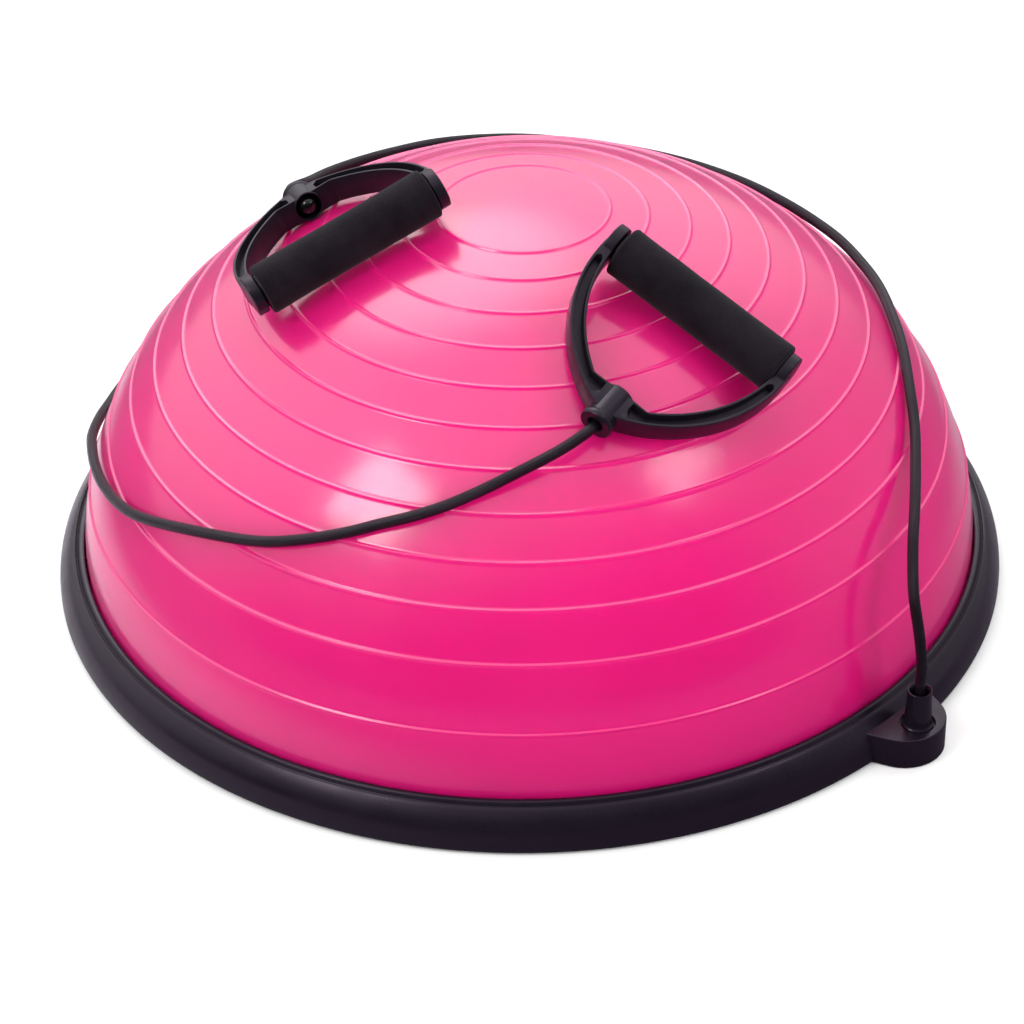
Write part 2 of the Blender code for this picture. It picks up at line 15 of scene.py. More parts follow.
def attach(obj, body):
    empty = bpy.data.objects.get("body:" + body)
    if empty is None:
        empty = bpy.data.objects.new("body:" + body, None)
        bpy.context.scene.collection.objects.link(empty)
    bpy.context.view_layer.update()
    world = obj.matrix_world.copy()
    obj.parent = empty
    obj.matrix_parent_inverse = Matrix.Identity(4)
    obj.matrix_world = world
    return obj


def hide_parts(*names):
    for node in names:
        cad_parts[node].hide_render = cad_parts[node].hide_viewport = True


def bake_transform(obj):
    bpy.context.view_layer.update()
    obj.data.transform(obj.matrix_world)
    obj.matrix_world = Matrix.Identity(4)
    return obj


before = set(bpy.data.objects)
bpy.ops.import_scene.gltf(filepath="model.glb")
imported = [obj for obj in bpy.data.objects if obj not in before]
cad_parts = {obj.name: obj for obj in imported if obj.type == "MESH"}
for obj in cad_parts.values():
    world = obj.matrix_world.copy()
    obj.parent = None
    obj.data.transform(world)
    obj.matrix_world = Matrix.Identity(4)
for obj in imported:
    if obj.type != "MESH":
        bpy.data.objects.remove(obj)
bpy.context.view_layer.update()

MM = 0.001

# ---------------------------------------------------------------- sizes, in millimetres
DOME_RADIUS = 272.3
DOME_BASE_Z = 26.0
DOME_RISE = 219.3
DOME_SHOULDER = 1.84         # exponent of the dome's profile, 2.0 would be an ellipse
DOME_WALL = 2.5
DOME_FLOOR_Z = 9.3
DOME_STEPS, RING_STEPS = 224, 288     # points around the dome and around its ring
RIB_RADII = (50, 72.7, 96.7, 120, 142.6, 164, 184, 203, 221, 237, 252, 266.5)
RIB_HEIGHT = 1.0
RIB_HALF_WIDTH = 1.5

LUG_DISTANCE = 289.0
LUG_RADIUS = 24.5
LUG_NOSE_ANGLE = 70          # half the angle that the lug's round nose spans
LUG_ROOT_DISTANCE = 270.0    # how far in the lug's sides run, under the rim's surface
LUG_BOTTOM_Z, LUG_TOP_Z = 0.3, 19.5
RECESS_RADIUS, RECESS_DEPTH = 10.0, 1.9
SOCKET_DISTANCE = 299.0
PLATE_RADIUS = 285.7
PLATE_BOTTOM_Z, PLATE_TOP_Z = 4.5, 8.8
SPOKE_COUNT = 16
SCREW_COUNT, SCREW_CIRCLE = 12, 281.5
FOOT_COUNT, FOOT_CIRCLE = 8, 262.0

BAND_RADIUS = 3.2
BALL_RADIUS = 5.8
GRIP_RADIUS = 15.0
GRIP_LENGTH = 111.5
GRIP_SHIFT = {"a": 0.4, "b": -1.0}
BOW_HALF_WIDTH = 7.5
PLATE_INNER, PLATE_OUTER = 57.0, 64.2
END_PLATE_RADIUS = 12.1
BOSS_START, BOSS_END = 76.5, 100.2

HANDLES = {
    "a": {"at": (-48.1, -97.7, 243.7), "turn": (-13.7, -19.6, 67.3)},
    "b": {"at": (136.7, -4.5, 230.9), "turn": (-16.6, -25.3, -168.3)},
}

# the bands' routes, from inside each lug's socket to its handle, in metres
ROUTES = {
    "a": [
        (0.299, 0, 0.0265), (0.299, 0, 0.0340), (0.299, 0, 0.046), (0.2985, 0.001, 0.060),
        (0.293, 0.004, 0.078), (0.282, 0.012, 0.096), (0.267, 0.030, 0.112), (0.252, 0.051, 0.121),
        (0.237, 0.071, 0.128), (0.218, 0.095, 0.136), (0.199, 0.115, 0.144), (0.173, 0.141, 0.152),
        (0.146, 0.164, 0.156), (0.125, 0.180, 0.157), (0.105, 0.191, 0.1585), (0.080, 0.201, 0.161),
        (0.055, 0.206, 0.1635), (0.030, 0.208, 0.166), (0.005, 0.208, 0.168), (-0.020, 0.206, 0.169),
        (-0.045, 0.201, 0.170), (-0.070, 0.1935, 0.1705), (-0.095, 0.181, 0.172), (-0.115, 0.165, 0.175),
        (-0.133, 0.143, 0.180), (-0.150, 0.117, 0.184), (-0.164, 0.0925, 0.186), (-0.1755, 0.068, 0.186),
        (-0.182, 0.044, 0.187), (-0.184, 0.020, 0.189), (-0.180, -0.002, 0.193), (-0.170, -0.022, 0.202),
        (-0.155, -0.040, 0.213),
    ],
    "b": [
        (-0.299, 0, 0.0265), (-0.299, 0, 0.0340), (-0.299, 0, 0.046), (-0.298, 0.001, 0.057),
        (-0.291, 0.004, 0.069), (-0.280, 0.005, 0.081), (-0.270, -0.003, 0.089), (-0.263, -0.018, 0.093),
        (-0.260, -0.036, 0.091), (-0.259, -0.055, 0.085), (-0.258, -0.072, 0.077),
        (-0.255, -0.088, 0.071), (-0.251, -0.101, 0.0675), (-0.246, -0.114, 0.066),
        (-0.2375, -0.1295, 0.0670), (-0.2265, -0.145, 0.0715), (-0.213, -0.161, 0.0775),
        (-0.200, -0.175, 0.0825), (-0.188, -0.1855, 0.087), (-0.165, -0.203, 0.0925),
        (-0.138, -0.2195, 0.098), (-0.1065, -0.233, 0.1045), (-0.077, -0.240, 0.1125),
        (-0.034, -0.2415, 0.1255), (0.009, -0.236, 0.136), (0.0335, -0.2285, 0.1435),
        (0.0585, -0.2145, 0.1525), (0.0765, -0.2015, 0.1605), (0.090, -0.1905, 0.166),
        (0.1025, -0.1765, 0.1715), (0.1145, -0.1615, 0.179), (0.124, -0.149, 0.186),
        (0.1315, -0.137, 0.1915), (0.138, -0.1255, 0.1965), (0.1423, -0.115, 0.2007),
    ],
}
BAND_SPACING = 0.0040        # between the rings of a band's mesh
BAND_SIDES = 24

# the studio's own glow: azimuth, elevation, radiance, and where it starts and ends to fade, in degrees
GLOWS = (
    (-118, 50, 2.3, 8, 26),      # overhead
    (-100, 62, 1.05, 15, 86),    # wide
    (165, 12, 0.42, 10, 70),     # backdrop
    (-85, 18, 0.40, 10, 60),     # left
    (-140, 25, 0.45, 5, 45),     # back
)
STUDIO_LEVEL = 0.05
# name, azimuth and elevation in degrees, distance and size in metres, radiance
SOFTBOXES = (
    ("right_softbox", 107, 51, 2.35, (0.68, 0.46), 3.0),
    ("left_softbox", -12, 46.5, 2.35, (0.74, 0.80), 6.2),
)
FILLS = (
    ("left_fill", -5, 20, 3.0, (1.5, 1.5), 3.8),
    ("front_fill", 43, 12, 3.0, (1.5, 1.5), 4.3),
    ("right_fill", 108, 25, 3.0, (1.5, 1.5), 6.2),
)
FLOOR_HALF_SIZE = 14.0
FLOOR_DROP = 0.0004          # keeps the floor off the feet's undersides
FLOOR_SEEN = (0.93, 0.93, 0.93)
# the floor as every ray but the camera's meets it: painted dim, with a painted pool of light on the side
# the light comes from
FLOOR_DIM, FLOOR_PAINTED_LIGHT = (0.110, 0.085, 0.125), (0.82, 0.78, 0.86)
FLOOR_LIGHT_SIDE = (-0.985, 0.174)
FLOOR_REACH = 0.30
# painted light: where the floor's painted pool of light fades, for every ray but the camera's
FLOOR_PAINTED_POOL = (0.36, 0.50)    # the bright pool fades between these distances from the object's axis

VIEW = {
    "azimuth": 43.0, "elevation": 34.78, "distance": 1.98107, "target_z": 0.05242,
    "lens": 113.49, "shift": (-0.01585, -0.0355), "roll": -0.957,
}


# ---------------------------------------------------------------- camera, floor and light
def towards(azimuth, elevation):
    """Unit vector from the object to a viewer at this azimuth and elevation in degrees."""
    a, e = math.radians(azimuth), math.radians(elevation)
    return Vector((math.sin(a) * math.cos(e), -math.cos(a) * math.cos(e), math.sin(e)))


def build_camera():
    data = bpy.data.cameras.new("camera")
    data.lens = VIEW["lens"]
    data.sensor_width = 36
    data.shift_x, data.shift_y = VIEW["shift"]
    camera = bpy.data.objects.new("camera", data)
    bpy.context.scene.collection.objects.link(camera)
    direction = towards(VIEW["azimuth"], VIEW["elevation"])
    camera.location = Vector((0, 0, VIEW["target_z"])) + direction * VIEW["distance"]
    roll = Quaternion((0, 0, 1), math.radians(VIEW["roll"]))
    camera.rotation_mode = "QUATERNION"
    camera.rotation_quaternion = (-direction).to_track_quat("-Z", "Y") @ roll
    bpy.context.scene.camera = camera


def area_light(name, azimuth, elevation, distance, size, radiance, target=(0, 0, 0.15)):
    data = bpy.data.lights.new(name, "AREA")
    data.shape = "RECTANGLE"
    data.size, data.size_y = size
    data.energy = radiance * math.pi * size[0] * size[1]
    light = bpy.data.objects.new(name, data)
    bpy.context.scene.collection.objects.link(light)
    direction = towards(azimuth, elevation)
    light.location = Vector(target) + direction * distance
    light.rotation_euler = direction.to_track_quat("Z", "Y").to_euler()
    return light


def glow(tree, sight, azimuth, elevation, radiance, inner, outer):
    """Light that is even within inner degrees of a direction and gone at outer degrees from it."""
    dot = tree.nodes.new("ShaderNodeVectorMath")
    dot.operation = "DOT_PRODUCT"
    dot.inputs[1].default_value = towards(azimuth, elevation)
    tree.links.new(sight, dot.inputs[0])
    fade = tree.nodes.new("ShaderNodeMapRange")
    fade.interpolation_type = "SMOOTHSTEP"
    fade.inputs["From Min"].default_value = math.cos(math.radians(outer))
    fade.inputs["From Max"].default_value = math.cos(math.radians(inner))
    fade.inputs["To Max"].default_value = radiance
    tree.links.new(dot.outputs["Value"], fade.inputs["Value"])
    return fade.outputs["Result"]


def build_light():
    """Two softboxes, fills without highlights, and a studio whose glow comes from behind and above.

    The camera sees plain white in place of that glow.
    """
    scene = bpy.context.scene
    scene.view_settings.view_transform = "Standard"
    world = bpy.data.worlds.new("studio")
    scene.world = world
    world.use_nodes = True
    tree = world.node_tree
    sight = tree.nodes.new("ShaderNodeTexCoord").outputs["Generated"]
    total = None
    for settings in GLOWS:
        share = glow(tree, sight, *settings)
        add = tree.nodes.new("ShaderNodeMath")
        add.inputs[0].default_value = STUDIO_LEVEL
        if total is not None:
            tree.links.new(total, add.inputs[0])
        tree.links.new(share, add.inputs[1])
        total = add.outputs["Value"]
    room = tree.nodes["Background"]
    room.inputs["Color"].default_value = (1, 1, 1, 1)
    tree.links.new(total, room.inputs["Strength"])
    pale = tree.nodes.new("ShaderNodeBackground")
    pale.inputs["Color"].default_value = (1, 1, 1, 1)
    path = tree.nodes.new("ShaderNodeLightPath")
    mix = tree.nodes.new("ShaderNodeMixShader")
    tree.links.new(path.outputs["Is Camera Ray"], mix.inputs["Fac"])
    tree.links.new(room.outputs["Background"], mix.inputs[1])
    tree.links.new(pale.outputs["Background"], mix.inputs[2])
    tree.links.new(mix.outputs["Shader"], tree.nodes["World Output"].inputs["Surface"])
    for light in SOFTBOXES:
        area_light(*light)
    for light in FILLS:
        area_light(*light).visible_glossy = False


def build_floor():
    """A floor that the camera sees plain and pale, and that all other rays meet as dim with a bright pool.

    The pool is painted light, near the object on its left. It is there for the object's reflections and
    bounced light.
    """
    mesh = bpy.data.meshes.new("floor")
    half = FLOOR_HALF_SIZE
    corners = [(-half, -half, 0), (half, -half, 0), (half, half, 0), (-half, half, 0)]
    mesh.from_pydata(corners, [], [(0, 1, 2, 3)])
    floor = bpy.data.objects.new("floor", mesh)
    bpy.context.scene.collection.objects.link(floor)
    floor.location.z = -FLOOR_DROP
    mat, bsdf = shader("floor_pale", FLOOR_SEEN, 0.9)
    path = node(mat, "ShaderNodeLightPath")
    across = node(mat, "ShaderNodeVectorMath", operation="DOT_PRODUCT")
    link(mat, place_of(mat), across.inputs[0])
    across.inputs[1].default_value = (*FLOOR_LIGHT_SIDE, 0)
    share = spread(mat, across.outputs["Value"], 0, 1, -FLOOR_REACH, FLOOR_REACH)
    away = node(mat, "ShaderNodeVectorMath", operation="LENGTH")
    link(mat, place_of(mat), away.inputs[0])
    near = spread(mat, away.outputs["Value"], 1, 0, *FLOOR_PAINTED_POOL)
    # painted light: a bright pool on the floor near the object's left, over a floor painted dim, seen by
    # every ray but the camera's
    painted_light_pool = node(mat, "ShaderNodeMath", operation="MULTIPLY")
    link(mat, share, painted_light_pool.inputs[0])
    link(mat, near, painted_light_pool.inputs[1])
    mirrored = blend_colours(mat, painted_light_pool.outputs["Value"], FLOOR_DIM, FLOOR_PAINTED_LIGHT)
    tone = blend_colours(mat, path.outputs["Is Camera Ray"], mirrored, FLOOR_SEEN)
    link(mat, tone, bsdf.inputs["Base Color"])
    mesh.materials.append(mat)


# ---------------------------------------------------------------- materials
PLUM = (0.95, 0.80, 1.0, 1)   # the cool cast of the black plastics' shine


def shader(name, colour, roughness, **sockets):
    """A new Principled material; the extra sockets are uniform numbers."""
    mat = bpy.data.materials.new(name)
    mat.use_nodes = True
    bsdf = mat.node_tree.nodes["Principled BSDF"]
    bsdf.inputs["Base Color"].default_value = (*colour, 1)
    bsdf.inputs["Roughness"].default_value = roughness
    for socket, value in sockets.items():
        bsdf.inputs[socket.replace("_", " ")].default_value = value
    return mat, bsdf


def node(mat, kind, **settings):
    made = mat.node_tree.nodes.new(kind)
    for key, value in settings.items():
        if hasattr(made, key):
            setattr(made, key, value)
        else:
            made.inputs[key.replace("_", " ")].default_value = value
    return made


def link(mat, source, target):
    mat.node_tree.links.new(source, target)


def place_of(mat, stretch=(1, 1, 1), source="Object"):
    """Texture coordinates in metres, stretched along the piece's own axes."""
    coords = node(mat, "ShaderNodeTexCoord")
    mapping = node(mat, "ShaderNodeMapping")
    mapping.inputs["Scale"].default_value = stretch
    link(mat, coords.outputs[source], mapping.inputs["Vector"])
    return mapping.outputs["Vector"]


def noise_of(mat, place, scale, detail=3.0, rough=0.5):
    tex = node(mat, "ShaderNodeTexNoise", Scale=scale, Detail=detail, Roughness=rough)
    link(mat, place, tex.inputs["Vector"])
    return tex.outputs["Fac"]


def spread(mat, value, low, high, from_low=0.35, from_high=0.65):
    """Remaps a noise's middle range to low..high."""
    ramp = node(mat, "ShaderNodeMapRange")
    ramp.inputs["From Min"].default_value = from_low
    ramp.inputs["From Max"].default_value = from_high
    ramp.inputs["To Min"].default_value = low
    ramp.inputs["To Max"].default_value = high
    link(mat, value, ramp.inputs["Value"])
    return ramp.outputs["Result"]


def blend_colours(mat, factor, first, second):
    mix = node(mat, "ShaderNodeMix", data_type="RGBA")
    for socket in mix.inputs:
        if socket.name not in ("A", "B") or socket.type != "RGBA":
            continue
        colour = first if socket.name == "A" else second
        if isinstance(colour, tuple):
            socket.default_value = (*colour, 1)
        else:
            link(mat, colour, socket)
    link(mat, factor, mix.inputs["Factor"])
    return [s for s in mix.outputs if s.type == "RGBA"][0]


def bump_of(mat, height, strength, distance, after=None):
    bump = node(mat, "ShaderNodeBump", Strength=strength, Distance=distance)
    link(mat, height, bump.inputs["Height"])
    if after is not None:
        link(mat, after, bump.inputs["Normal"])
    return bump.outputs["Normal"]


def pvc_material():
    """Inflated PVC: a glossy coloured skin, a little cloudy, with the faint orange peel of a film."""
    mat, bsdf = shader("pink_pvc", (0.68, 0.0050, 0.160), 0.16, Specular_IOR_Level=1.0,
                       Subsurface_Weight=0.8, Subsurface_Scale=0.04, Coat_Weight=0.45, Coat_Roughness=0.45)
    bsdf.inputs["Subsurface Radius"].default_value = (1.0, 0.3, 0.6)
    bsdf.subsurface_method = "BURLEY"
    place = place_of(mat)
    cloud = noise_of(mat, place, 9.0, 2.0)
    cloudy = spread(mat, cloud, 0, 1)
    colour = blend_colours(mat, cloudy, (0.66, 0.0042, 0.154), (0.70, 0.0058, 0.166))
    link(mat, colour, bsdf.inputs["Base Color"])
    handling = noise_of(mat, place, 60.0, 5.0, 0.6)
    link(mat, spread(mat, handling, 0.13, 0.21), bsdf.inputs["Roughness"])
    waves = noise_of(mat, place, 14.0, 1.0)
    peel = noise_of(mat, place, 900.0, 2.0)
    normal = bump_of(mat, waves, 0.25, 0.0006)
    normal = bump_of(mat, peel, 0.10, 0.00004, normal)
    link(mat, normal, bsdf.inputs["Normal"])
    return mat


def moulded_material(name, colour, roughness, grain=1500.0, depth=0.00005, stretch=(1, 1, 1), scuff=0.5):
    """Moulded black plastic: fine grain, uneven gloss, pale scuffs and dust."""
    mat, bsdf = shader(name, colour, roughness, Specular_IOR_Level=0.38, Specular_Tint=PLUM)
    place = place_of(mat)
    patches = noise_of(mat, place, 22.0, 4.0, 0.6)
    dust = noise_of(mat, place_of(mat, (1, 1, 3)), 240.0, 6.0, 0.7)
    pale = tuple(c * 2.1 + 0.010 for c in colour)
    dusty = spread(mat, dust, 0.0, scuff, 0.56, 0.80)
    link(mat, blend_colours(mat, dusty, colour, pale), bsdf.inputs["Base Color"])
    link(mat, spread(mat, patches, roughness - 0.06, roughness + 0.10), bsdf.inputs["Roughness"])
    fine = noise_of(mat, place_of(mat, stretch), grain, 3.0, 0.6)
    link(mat, bump_of(mat, fine, 0.45, depth), bsdf.inputs["Normal"])
    return mat


def foam_material():
    """Closed-cell foam rubber: matt, finely pitted, with a soft grey bloom."""
    mat, bsdf = shader("grip_foam", (0.008, 0.006, 0.010), 0.95, Specular_IOR_Level=0.2, Specular_Tint=PLUM,
                       Sheen_Weight=0.05, Sheen_Roughness=0.5)
    place = place_of(mat)
    bloom = noise_of(mat, place, 45.0, 4.0, 0.6)
    bloomy = spread(mat, bloom, 0, 1)
    link(mat, blend_colours(mat, bloomy, (0.0045, 0.0035, 0.0052), (0.0095, 0.0075, 0.0105)),
         bsdf.inputs["Base Color"])
    cells = node(mat, "ShaderNodeTexVoronoi", Scale=1500.0)
    link(mat, place, cells.inputs["Vector"])
    coarse = noise_of(mat, place, 700.0, 3.0, 0.7)
    normal = bump_of(mat, cells.outputs["Distance"], 0.55, 0.00022)
    normal = bump_of(mat, coarse, 0.45, 0.00022, normal)
    link(mat, normal, bsdf.inputs["Normal"])
    link(mat, spread(mat, coarse, 0.82, 1.0), bsdf.inputs["Roughness"])
    return mat


def latex_material():
    """Dipped latex tube: smooth and waxy, with faint draw lines along its length."""
    mat, bsdf = shader("band_latex", (0.006, 0.004, 0.007), 0.21, Specular_IOR_Level=0.30,
                       Specular_Tint=PLUM)
    along = place_of(mat, (26, 0.5, 1), "UV")
    lines = noise_of(mat, along, 1.0, 2.0, 0.5)
    place = place_of(mat)
    powder = noise_of(mat, place, 130.0, 5.0, 0.65)
    powdery = spread(mat, powder, 0, 1, 0.45, 0.75)
    link(mat, blend_colours(mat, powdery, (0.0045, 0.0032, 0.0050), (0.0100, 0.0075, 0.0110)),
         bsdf.inputs["Base Color"])
    link(mat, spread(mat, powder, 0.15, 0.27), bsdf.inputs["Roughness"])
    link(mat, bump_of(mat, lines, 0.9, 0.0008), bsdf.inputs["Normal"])
    return mat


def gloss_material(name, colour):
    mat, bsdf = shader(name, colour, 0.08, Specular_IOR_Level=0.5)
    smear = noise_of(mat, place_of(mat), 220.0, 4.0, 0.6)
    link(mat, spread(mat, smear, 0.04, 0.12), bsdf.inputs["Roughness"])
    return mat


def steel_material():
    """Zinc-plated steel with a fine turned finish."""
    mat, bsdf = shader("zinc_steel", (0.56, 0.56, 0.58), 0.36, Metallic=1.0)
    place = place_of(mat)
    stain = noise_of(mat, place, 300.0, 4.0, 0.6)
    link(mat, blend_colours(mat, spread(mat, stain, 0, 1), (0.47, 0.46, 0.45), (0.63, 0.63, 0.66)),
         bsdf.inputs["Base Color"])
    link(mat, spread(mat, stain, 0.28, 0.48), bsdf.inputs["Roughness"])
    fine = noise_of(mat, place_of(mat, (1, 1, 6)), 2400.0, 2.0)
    link(mat, bump_of(mat, fine, 0.3, 0.00002), bsdf.inputs["Normal"])
    return mat


def rubber_material(name, colour):
    mat, bsdf = shader(name, colour, 0.82, Specular_IOR_Level=0.35)
    place = place_of(mat)
    wear = noise_of(mat, place, 90.0, 5.0, 0.65)
    pale = tuple(c * 1.8 for c in colour)
    worn = spread(mat, wear, 0, 1, 0.45, 0.75)
    link(mat, blend_colours(mat, worn, colour, pale), bsdf.inputs["Base Color"])
    link(mat, spread(mat, wear, 0.74, 0.92), bsdf.inputs["Roughness"])
    link(mat, bump_of(mat, noise_of(mat, place, 1300.0, 3.0), 0.5, 0.00008), bsdf.inputs["Normal"])
    return mat


def build_materials():
    black = (0.0072, 0.0048, 0.0098)
    return {
        "pvc": pvc_material(),
        "ring": moulded_material("ring_plastic", black, 0.26, 1500.0, 0.00003, scuff=0.25),
        "plate": moulded_material("plate_plastic", (0.007, 0.0055, 0.009), 0.58, 700.0, 0.00018),
        "socket": moulded_material("socket_plastic", (0.0072, 0.0054, 0.0098), 0.20, 1800.0, 0.00003,
                                   scuff=0.3),
        "bow": moulded_material("bow_plastic", (0.0070, 0.0055, 0.0092), 0.34, 1100.0, 0.00006,
                                (1, 0.18, 1)),
        "tube": moulded_material("tube_plastic", (0.007, 0.0055, 0.009), 0.45),
        "foam": foam_material(),
        "latex": latex_material(),
        "gloss": gloss_material("stopper_gloss", (0.003, 0.0025, 0.0032)),
        "steel": steel_material(),
        "rubber": rubber_material("foot_rubber", (0.040, 0.039, 0.040)),
        "valve": rubber_material("valve_rubber", (0.060, 0.058, 0.060)),
    }


# ---------------------------------------------------------------- mesh helpers
def piece(name, verts, faces, mat, angle=35, uvs=None):
    """A new object from vertices in millimetres, with faces outwards and edges sharp above angle."""
    mesh = bpy.data.meshes.new(name)
    mesh.from_pydata([tuple(c * MM for c in v) for v in verts], [], faces)
    if uvs is not None:
        layer = mesh.uv_layers.new(name="UVMap")
        for loop in mesh.loops:
            layer.data[loop.index].uv = uvs[loop.vertex_index]
    bm = bmesh.new()
    bm.from_mesh(mesh)
    bmesh.ops.recalc_face_normals(bm, faces=bm.faces)
    bm.to_mesh(mesh)
    bm.free()
    mesh.shade_smooth()
    mesh.set_sharp_from_angle(angle=math.radians(angle))
    mesh.materials.append(mat)
    obj = bpy.data.objects.new(name, mesh)
    bpy.context.scene.collection.objects.link(obj)
    return obj


def lathe_data(profile, steps, closed=True):
    """Vertices and faces of a solid turned about Z; an open profile starts and ends on the axis."""
    verts, rings = [], []
    for radius, z in profile:
        if radius < 1e-6:
            rings.append([len(verts)] * steps)
            verts.append((0.0, 0.0, z))
            continue
        rings.append(list(range(len(verts), len(verts) + steps)))
        for i in range(steps):
            angle = 2 * math.pi * i / steps
            verts.append((radius * math.cos(angle), radius * math.sin(angle), z))
    following = rings[1:] + ([rings[0]] if closed else [])
    faces = []
    for low, high in zip(rings, following):
        for i in range(steps):
            j = (i + 1) % steps
            face = list(dict.fromkeys((low[i], low[j], high[j], high[i])))
            if len(face) > 2:
                faces.append(face)
    return verts, faces


def lathe(name, profile, steps, mat, closed=True, angle=35):
    verts, faces = lathe_data(profile, steps, closed)
    return piece(name, verts, faces, mat, angle)


def rounded(points, radius, steps=4, closed=True):
    """The same outline with each corner turned into an arc-like curve of about this radius."""
    result = []
    count = len(points)
    for i, here in enumerate(points):
        if not closed and i in (0, count - 1):
            result.append(here)
            continue
        p = Vector(here)
        before, after = Vector(points[i - 1]), Vector(points[(i + 1) % count])
        cut = min(radius, (before - p).length * 0.45, (after - p).length * 0.45)
        start = p + (before - p).normalized() * cut
        end = p + (after - p).normalized() * cut
        for k in range(steps + 1):
            t = k / steps
            result.append(tuple(start * (1 - t) ** 2 + p * 2 * t * (1 - t) + end * t * t))
    return result


def bezier_at(points, t):
    s = 1 - t
    weights = (s * s * s, 3 * s * s * t, 3 * s * t * t, t * t * t)
    return Vector([sum(w * p[k] for w, p in zip(weights, points)) for k in (0, 1)])


def around(count, radius, start=0.0):
    for i in range(count):
        angle = start + 2 * math.pi * i / count
        yield radius * math.cos(angle), radius * math.sin(angle), angle


def joined(name, parts, mat, angle=35):
    """One object from several closed shells, each a (vertices, faces) pair."""
    verts, faces = [], []
    for part_verts, part_faces in parts:
        shift = len(verts)
        verts.extend(tuple(v) for v in part_verts)
        faces.extend([i + shift for i in face] for face in part_faces)
    return piece(name, verts, faces, mat, angle)


def moved(part, matrix):
    verts, faces = part
    return [tuple(matrix @ Vector(v)) for v in verts], faces


def handle_matrix(side):
    spec = HANDLES[side]
    turn = Euler([math.radians(a) for a in spec["turn"]], "XYZ")
    return Matrix.Translation(Vector(spec["at"]) * MM) @ turn.to_matrix().to_4x4()


# ---------------------------------------------------------------- bands
def smooth_path(points, spacing):
    """Even points on a Catmull-Rom curve through the route's points."""
    path = [Vector(p) for p in points]
    path = [path[0] * 2 - path[1]] + path + [path[-1] * 2 - path[-2]]
    fine = []
    for a, b, c, d in zip(path, path[1:], path[2:], path[3:]):
        for i in range(24):
            t = i / 24
            fine.append(0.5 * ((2 * b) + (c - a) * t + (2 * a - 5 * b + 4 * c - d) * t * t
                               + (3 * b - a - 3 * c + d) * t ** 3))
    fine.append(path[-2])
    reach = [0.0]
    for a, b in zip(fine, fine[1:]):
        reach.append(reach[-1] + (b - a).length)
    count = round(reach[-1] / spacing)
    even, k = [], 0
    for i in range(count + 1):
        want = reach[-1] * i / count
        while k < len(fine) - 2 and reach[k + 1] < want:
            k += 1
        even.append(fine[k].lerp(fine[k + 1], (want - reach[k]) / (reach[k + 1] - reach[k])))
    return even


def build_band(side, mat):
    place = handle_matrix(side)
    mouth = [place @ Vector((0, (BOSS_END + d) * MM, 0)) for d in (4, -4)]
    if side == "a":
        mouth = [place @ Vector((0, (BOSS_END + 12) * MM, 0))] + mouth
    inside = place @ Vector((0, (BOSS_START + 10.5) * MM, 0))
    path = smooth_path([*ROUTES[side], *mouth, inside], BAND_SPACING)
    verts, faces, uvs = [], [], []
    across = Vector((0, 1, 0))
    for i, point in enumerate(path):
        ahead = (path[min(i + 1, len(path) - 1)] - path[max(i - 1, 0)]).normalized()
        across = (across - ahead * across.dot(ahead)).normalized()
        other = ahead.cross(across)
        for k in range(BAND_SIDES):
            angle = 2 * math.pi * k / BAND_SIDES
            offset = (across * math.cos(angle) + other * math.sin(angle)) * BAND_RADIUS
            verts.append(tuple(point / MM + offset))
            turn = abs(2 * k / BAND_SIDES - 1)
            uvs.append((turn, i * BAND_SPACING * 10))
    for i in range(len(path) - 1):
        for k in range(BAND_SIDES):
            j = (k + 1) % BAND_SIDES
            low, high = i * BAND_SIDES, (i + 1) * BAND_SIDES
            faces.append([low + k, low + j, high + j, high + k])
    last = (len(path) - 1) * BAND_SIDES
    faces.append(list(range(BAND_SIDES)))
    faces.append([last + k for k in range(BAND_SIDES)])
    band = piece(f"band_tube_{side}", verts, faces, mat, uvs=uvs)
    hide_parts(f"resistance_band_{side}")
    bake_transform(band)


# ---------------------------------------------------------------- dome
def dome_height(radius):
    part = 1 - min(1.0, radius / DOME_RADIUS) ** 2
    return DOME_BASE_Z + DOME_RISE * part ** (1 / DOME_SHOULDER)


def dome_line():
    """Fine points of the smooth profile from the crown to the foot, with their distance along it."""
    points = [Vector((DOME_RADIUS * math.sin(0.5 * math.pi * i / 600), 0)) for i in range(601)]
    points = [Vector((p.x, dome_height(p.x))) for p in points]
    reach = [0.0]
    for a, b in zip(points, points[1:]):
        reach.append(reach[-1] + (b - a).length)
    return points, reach


def dome_skin_profile():
    """The dome's profile with its raised rings; rings get close points, the stretches between them few."""
    points, reach = dome_line()

    def at(s):
        k = min(bisect.bisect_right(reach, s) - 1, len(reach) - 2)
        here = points[k].lerp(points[k + 1], (s - reach[k]) / (reach[k + 1] - reach[k]))
        along = (points[k + 1] - points[k]).normalized()
        return here, Vector((-along.y, along.x))

    ribs = []
    for radius in RIB_RADII:
        k = min(range(len(points)), key=lambda i: abs(points[i].x - radius))
        ribs.append(reach[k])
    stations = {0.0, reach[-1]}
    coarse = 5.0
    for i in range(1, int(reach[-1] / coarse)):
        if all(abs(i * coarse - rib) > RIB_HALF_WIDTH * 2.2 for rib in ribs):
            stations.add(i * coarse)
    for rib in ribs:
        for part in (-1.6, -1.0, -0.75, -0.5, -0.25, 0, 0.25, 0.5, 0.75, 1.0, 1.6):
            stations.add(rib + part * RIB_HALF_WIDTH)
    profile = []
    for s in sorted(stations):
        here, outward = at(s)
        near = min(abs(s - rib) for rib in ribs)
        if near < RIB_HALF_WIDTH:
            here = here + outward * RIB_HEIGHT * math.cos(0.5 * math.pi * near / RIB_HALF_WIDTH) ** 2
        profile.append((max(0.0, here.x), here.y))
    profile[0] = (0.0, profile[0][1])
    return profile


